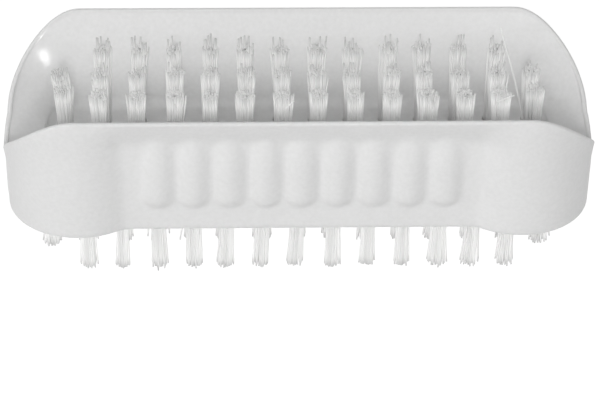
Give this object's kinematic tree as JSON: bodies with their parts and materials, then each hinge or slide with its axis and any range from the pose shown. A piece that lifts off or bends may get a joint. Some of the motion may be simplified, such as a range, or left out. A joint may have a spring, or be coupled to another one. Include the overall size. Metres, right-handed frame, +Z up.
{
  "type": "nail brush",
  "caption": "Two-sided nail brush: a moulded trough-shaped body with ribbed grip sides, rows of bristle tufts standing in the trough and more tufts on the underside.",
  "frame": {"origin": "middle of the brush, on the plane of the tips of the lower tufts", "axes": "+X along the length, -Y the long side that the picture shows in front, +Z up out of the trough"},
  "size_m": [0.0944, 0.033, 0.0368],
  "materials": {
    "body_plastic": "glossy moulded white plastic",
    "bristle_nylon": "white nylon filament, cut tips",
    "anchor_metal": "plain stamped wire"
  },
  "bodies": {
    "root": {"body": "body_plastic", "upper_tufts_front_row": "bristle_nylon", "upper_tufts_middle_row": "bristle_nylon", "upper_tufts_rear_row": "bristle_nylon", "upper_tufts_left_end": "bristle_nylon", "upper_tufts_right_end": "bristle_nylon", "lower_tufts_front_row": "bristle_nylon", "lower_tufts_rear_row": "bristle_nylon", "lower_tuft_left_end": "bristle_nylon", "lower_tuft_right_end": "bristle_nylon", "upper_anchors": "anchor_metal", "lower_anchors": "anchor_metal"}
  },
  "joints": []
}
